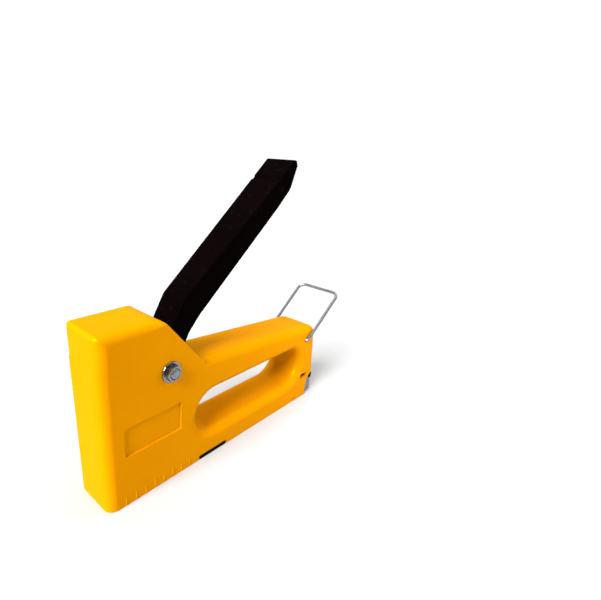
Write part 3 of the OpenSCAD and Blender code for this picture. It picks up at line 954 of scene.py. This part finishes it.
def return_spring():
    """Torsion spring: its coil and one leg stay with the body, the other leg with the lever."""
    radius, wire = 4.8, 0.45
    low = low_corner("lever_return_spring").y + wire
    high = high_corner("lever_return_spring").y - wire
    boss_leg = Vector(SCREWS[1]) - Vector(PIVOT) + Vector((-3.8, 3.4))
    lever_leg = Vector((-17.2, 2.9))
    turn = -LEVER_SWING
    lever_leg = Vector((lever_leg.x * math.cos(turn) - lever_leg.y * math.sin(turn),
                        lever_leg.x * math.sin(turn) + lever_leg.y * math.cos(turn)))
    first = math.atan2(boss_leg.y, boss_leg.x) - math.acos(radius / boss_leg.length)
    final = math.atan2(lever_leg.y, lever_leg.x) + math.acos(radius / lever_leg.length)
    full_turn, steps = 2 * math.pi, 64
    drop = (first - final) % full_turn + full_turn
    winding = []
    for i in range(steps + 1):
        a = first - drop * i / steps
        winding.append((PIVOT[0] + radius * math.cos(a), low + (high - low) * i / steps,
                        PIVOT[1] + radius * math.sin(a)))
    boss_end = (PIVOT[0] + boss_leg.x, low, PIVOT[1] + boss_leg.y)
    lever_end = (PIVOT[0] + lever_leg.x, high, PIVOT[1] + lever_leg.y)
    coil_piece = tube("return_coil", [boss_end] + winding, wire, 10)
    piece(coil_piece, "lever_return_spring", "body", "spring_steel", 60)
    leg = tube("return_leg", [winding[-1], lever_end], wire, 10)
    piece(leg, None, "lever", "spring_steel", 60)


power_spring()
pusher_spring()
return_spring()

# ---- Striker -------------------------------------------------------------------------


def plunger():
    low, high = low_corner("striker_plunger"), high_corner("striker_plunger")
    sheet, front_sheet, gusset_sheet, gusset_heel, edge = 2.7, 2.0, 2.0, 2.5, 0.3
    top = block("plunger", (low.x, low.y, high.z - sheet), high, edge)
    front = block("tool", (high.x - front_sheet, low.y, low.z), high, edge)
    gusset = [(low.x, high.z - sheet - gusset_heel), (high.x, low.z), (high.x, high.z),
              (low.x, high.z)]
    shape = rounded(gusset, [1, 1, 0.4, 0.4], 4)
    sides = [slab("tool", shape, high.y - gusset_sheet, high.y, edge, edge, steps=3),
             slab("tool", shape, low.y, low.y + gusset_sheet, edge, edge, steps=3)]
    combine(top, [front] + sides, "UNION")
    piece(top, "striker_plunger", "striker", "plain_steel")


def plate_for(name, node, body, slot_name, edge):
    """A plain pressed plate or block with worked edges, where its CAD node is."""
    piece(block(name, low_corner(node), high_corner(node), edge), node, body, slot_name)


plunger()
plate_for("blade", "striker_blade", "striker", "plain_steel", 0.12)
plate_for("seat_plate", "spring_seat", "body", "plain_steel", 0.3)
plate_for("bumper_block", "striker_bumper", "body", "bumper_rubber", 0.8)
plate_for("nose_strip", "nose_plate", "body", "plain_steel", 0.25)

# ---- Magazine ------------------------------------------------------------------------

ROD_BORE, PUSHER_BORE = 1.53, 1.55


def channel():
    low, high = low_corner("magazine_channel"), high_corner("magazine_channel")
    wall = 1.0
    outline = [(high.y, low.z), (high.y, high.z), (low.y, high.z), (low.y, low.z),
               (low.y + wall, low.z), (low.y + wall, high.z - wall),
               (high.y - wall, high.z - wall), (high.y - wall, low.z)]
    shape = rounded(outline, [0.15, 1.3, 1.3, 0.15, 0.15, 0.35, 0.35, 0.15], 5)
    piece(slab("guide_channel", shape, low.x, high.x, 0.12, 0.12, FRONT, 3),
          "magazine_channel", "body", "plain_steel")


def bridge():
    low, high = low_corner("magazine_bridge"), high_corner("magazine_bridge")
    slot_half, floor = 7.1, 0.6
    outline = [(low.y, low.z), (high.y, low.z), (high.y, high.z), (slot_half, high.z),
               (slot_half, floor), (-slot_half, floor), (-slot_half, high.z), (low.y, high.z)]
    shape = rounded(outline, [0.25, 0.25, 0.25, 0.2, 0.2, 0.2, 0.2, 0.25], 4)
    piece(slab("sole_bridge", shape, low.x, high.x, 0.2, 0.2, FRONT, 3),
          "magazine_bridge", "body", "black_plastic")


def rail():
    low, high = low_corner("staple_rail"), high_corner("staple_rail")
    wall, end = 1.0, 1.1
    outline = [(low.y, high.z), (low.y, low.z), (high.y, low.z), (high.y, high.z),
               (high.y - wall, high.z), (high.y - wall, low.z + wall),
               (low.y + wall, low.z + wall), (low.y + wall, high.z)]
    shape = rounded(outline, [0.2, 0.9, 0.9, 0.2, 0.2, 0.3, 0.3, 0.2], 5)
    tray = slab("rail", shape, low.x, high.x, 0.15, 0.15, FRONT, 3)
    for start, stop in ((low.x, low.x + end), (high.x - end, high.x)):
        end_wall = block("tool", (start, low.y, low.z), (stop, high.y, high.z), 0.3)
        combine(tray, [end_wall], "UNION")
    combine(tray, [rod_bore(ROD_BORE)])
    piece(tray, "staple_rail", "drawer", "zinc_sheet")


def rod_bore(radius):
    """A hole for the rod, through everything from the nose to the heel."""
    front, back = -10, 170
    return lathe("tool", [(0, front), (radius, front), (radius, back), (0, back)],
                 facing_back(ROD_HEIGHT), 32)


def rod():
    """A plain rod with a domed head behind the pull strip."""
    front, back = -high_corner("pusher_rod").x, -low_corner("pusher_rod").x
    head = -low_corner("magazine_pull").x
    profile = [(0, front), (1.3, front), (1.5, front + 0.2), (1.5, head)]
    profile += dome(2.5, 0.4, back - head, head)[1:]
    piece(lathe("rod", profile, facing_back(ROD_HEIGHT), 40), "pusher_rod", "drawer",
          "bright_steel", 40)


def pull():
    """The bent strip at the heel: a U in plan, trimmed to its side shape."""
    low, high = low_corner("magazine_pull"), high_corner("magazine_pull")
    sheet, bend, strip_top = 1.0, 2.5, 12.4
    step = HEEL_NOTCH[0] + 0.5
    outline = [(high.x, low.y), (high.x, low.y + sheet), (low.x + sheet, low.y + sheet),
               (low.x + sheet, high.y - sheet), (high.x, high.y - sheet), (high.x, high.y),
               (low.x, high.y), (low.x, low.y)]
    inner = bend - sheet
    ring = rounded(outline, [0.2, 0.2, inner, inner, 0.2, 0.2, bend, bend], 12)
    body = slab("pull", ring, low.z - 1, high.z + 1, 0, 0, PLAN)
    side = [(low.x - 1, low.z), (high.x, low.z), (high.x, high.z), (step + 1.3, high.z),
            (step, strip_top), (low.x - 1, strip_top)]
    trim = slab("tool", rounded(side, [0, 1.5, 1.5, 1.2, 1.2, 0], 5), -HALF_WIDTH, HALF_WIDTH)
    combine(body, [trim], "INTERSECT")
    combine(body, [rod_bore(ROD_BORE)])
    piece(body, "magazine_pull", "drawer", "zinc_sheet")
    # Black band over the top edge of the strip: painted shade standing in for the shadowed gap
    # between the strip and the heel above it, not a part of the gun
    grip = 0.25
    shade_sleeve_ring = inset(outline, -grip)
    shade_sleeve = slab("pull_shade_sleeve", rounded(shade_sleeve_ring, [0.2, 0.2, 1.3, 1.3, 0.2, 0.2, 2.7, 2.7], 12),
                  strip_top - 2.6, strip_top + grip, 0.12, 0.12, PLAN, 2)
    combine(shade_sleeve, [block("tool", (low.x + 4.5, -20, -5), (high.x + 5, 20, 40))])
    # The black material on this band paints the shade of the gap under the heel
    piece(shade_sleeve, None, "drawer", "black_plastic")


def pusher_saddle():
    low, high = low_corner("pusher"), high_corner("pusher")
    flap, cap_low, half, foot = 0.75, high.z - 0.9, 3.5, 2.1
    outline = [(high.y, low.z), (high.y, high.z), (low.y, high.z), (low.y, low.z),
               (low.y + flap, low.z), (low.y + flap, cap_low), (-half, cap_low), (-half, foot),
               (half, foot), (half, cap_low), (high.y - flap, cap_low), (high.y - flap, low.z)]
    shape = rounded(outline, [0.1, 0.6, 0.6, 0.1, 0.1, 0.1, 0.1, 0.4, 0.4, 0.1, 0.1, 0.1], 4)
    body = slab("saddle", shape, low.x, high.x, 0.1, 0.1, FRONT, 2)
    combine(body, [rod_bore(PUSHER_BORE)])
    piece(body, "pusher", "follower", "zinc_sheet")


channel()
bridge()
rail()
rod()
pull()
pusher_saddle()

# ---- Wire bail -----------------------------------------------------------------------


def bail():
    """One length of wire: in through the left wall, up, across, down and in on the right."""
    wire = 1.0
    leg = high_corner("wire_bail").y - wire
    pin_end = INNER_HALF - 1.2
    bar_x = low_corner("wire_bail").x + wire
    bar_z = high_corner("wire_bail").z - wire
    points = [(BAIL_PIVOT[0], pin_end, BAIL_PIVOT[1]), (BAIL_PIVOT[0], leg, BAIL_PIVOT[1]),
              (bar_x, leg, bar_z), (bar_x, -leg, bar_z),
              (BAIL_PIVOT[0], -leg, BAIL_PIVOT[1]), (BAIL_PIVOT[0], -pin_end, BAIL_PIVOT[1])]
    path = rounded_path(points, [1.5, 4, 4, 1.5], 10)
    piece(tube("bail", path, wire, 20), "wire_bail", "bail", "bail_wire", 60)


bail()

# ---- CAD nodes that are kept ---------------------------------------------------------

for node_name, slot_name in (("pivot_bush", "plain_steel"), ("lift_claw", "plain_steel"),
                             ("claw_rivet", "bright_steel"), ("blade_rivets", "bright_steel")):
    node_object = frame["nodes"][node_name]
    for material_slot in node_object.material_slots:
        material_slot.material = MATERIALS[slot_name]

# ---- Floor, light and camera ---------------------------------------------------------


def floor():
    bm = bmesh.new()
    size = 1.6
    corners = [bm.verts.new((x * size, y * size, 0)) for x, y in
               ((-1, -1), (1, -1), (1, 1), (-1, 1))]
    bm.faces.new(corners)
    ground = new_object("floor", bm)
    s = Shader("pale_floor", Roughness=0.8, Specular_IOR_Level=0.1)
    s.shader.inputs["Base Color"].default_value = (0.4, 0.4, 0.4, 1)
    ground.data.materials.append(s.material)


def soft_sun(name, direction, strength, spread):
    """A broad even light shining from a direction."""
    light = bpy.data.lights.new(name, "SUN")
    light.energy = strength
    light.angle = math.radians(spread)
    obj = bpy.data.objects.new(name, light)
    obj.rotation_mode = "QUATERNION"
    obj.rotation_quaternion = Vector(direction).to_track_quat("Z", "Y")
    bpy.context.scene.collection.objects.link(obj)


def area_light(name, place, target, size, watts):
    """A soft box that lights the gun but doesn't show in the picture."""
    light = bpy.data.lights.new(name, "AREA")
    light.shape = "RECTANGLE"
    light.size, light.size_y = size
    light.energy = watts
    obj = bpy.data.objects.new(name, light)
    obj.location = place
    obj.rotation_mode = "QUATERNION"
    obj.rotation_quaternion = (Vector(target) - Vector(place)).to_track_quat("-Z", "Y")
    obj.visible_camera = False
    obj.visible_glossy = False
    bpy.context.scene.collection.objects.link(obj)


def world():
    """White towards the right rear of the gun, falling to grey on its left and in front."""
    made = bpy.data.worlds.new("studio")
    made.use_nodes = True
    tree = made.node_tree
    background = tree.nodes["Background"]
    place = tree.nodes.new("ShaderNodeTexCoord")
    facing = tree.nodes.new("ShaderNodeVectorMath")
    facing.operation = "DOT_PRODUCT"
    facing.inputs[1].default_value = Vector((-0.70, -0.70, 0.15)).normalized()
    tree.links.new(place.outputs["Generated"], facing.inputs[0])
    ramp = tree.nodes.new("ShaderNodeMapRange")
    ramp.interpolation_type = "SMOOTHSTEP"
    for socket, value in (("From Min", -0.2), ("From Max", 0.55), ("To Min", 0.2),
                          ("To Max", 1.05)):
        ramp.inputs[socket].default_value = value
    tree.links.new(facing.outputs["Value"], ramp.inputs["Value"])
    tree.links.new(ramp.outputs["Result"], background.inputs["Strength"])
    background.inputs["Color"].default_value = (1, 1, 1, 1)
    bpy.context.scene.world = made


def camera():
    """Stands at the front left of the gun, a little above it, as in the picture to match."""
    place = Vector((0.0686, 0.1357, 0.1498))
    heading, pitch, roll = math.radians(-136.54), math.radians(-24.96), math.radians(2.81)
    data = bpy.data.cameras.new("camera")
    data.lens = 24.66
    data.sensor_width = 36
    data.shift_x, data.shift_y = 0.1323, 0.0646
    data.clip_start, data.clip_end = 0.005, 10
    ahead = Vector((math.cos(heading) * math.cos(pitch), math.sin(heading) * math.cos(pitch),
                    math.sin(pitch)))
    obj = bpy.data.objects.new("camera", data)
    obj.location = place
    obj.rotation_mode = "QUATERNION"
    obj.rotation_quaternion = ahead.to_track_quat("-Z", "Y") @ Quaternion((0, 0, 1), roll)
    bpy.context.scene.collection.objects.link(obj)
    bpy.context.scene.camera = obj


floor()
world()
soft_sun("key", (0.82, 0.07, 0.57), 9.6, 32)
soft_sun("side fill", (-0.3, 0.7, 0.6), 0.25, 60)
soft_sun("top", (-0.1, 0.1, 1), 0.9, 60)
area_light("rear fill", (-0.22, 0.15, 0.11), (-0.125, 0, 0.03), (0.1, 0.1), 0.28)
camera()
bpy.context.scene.view_settings.view_transform = "Standard"
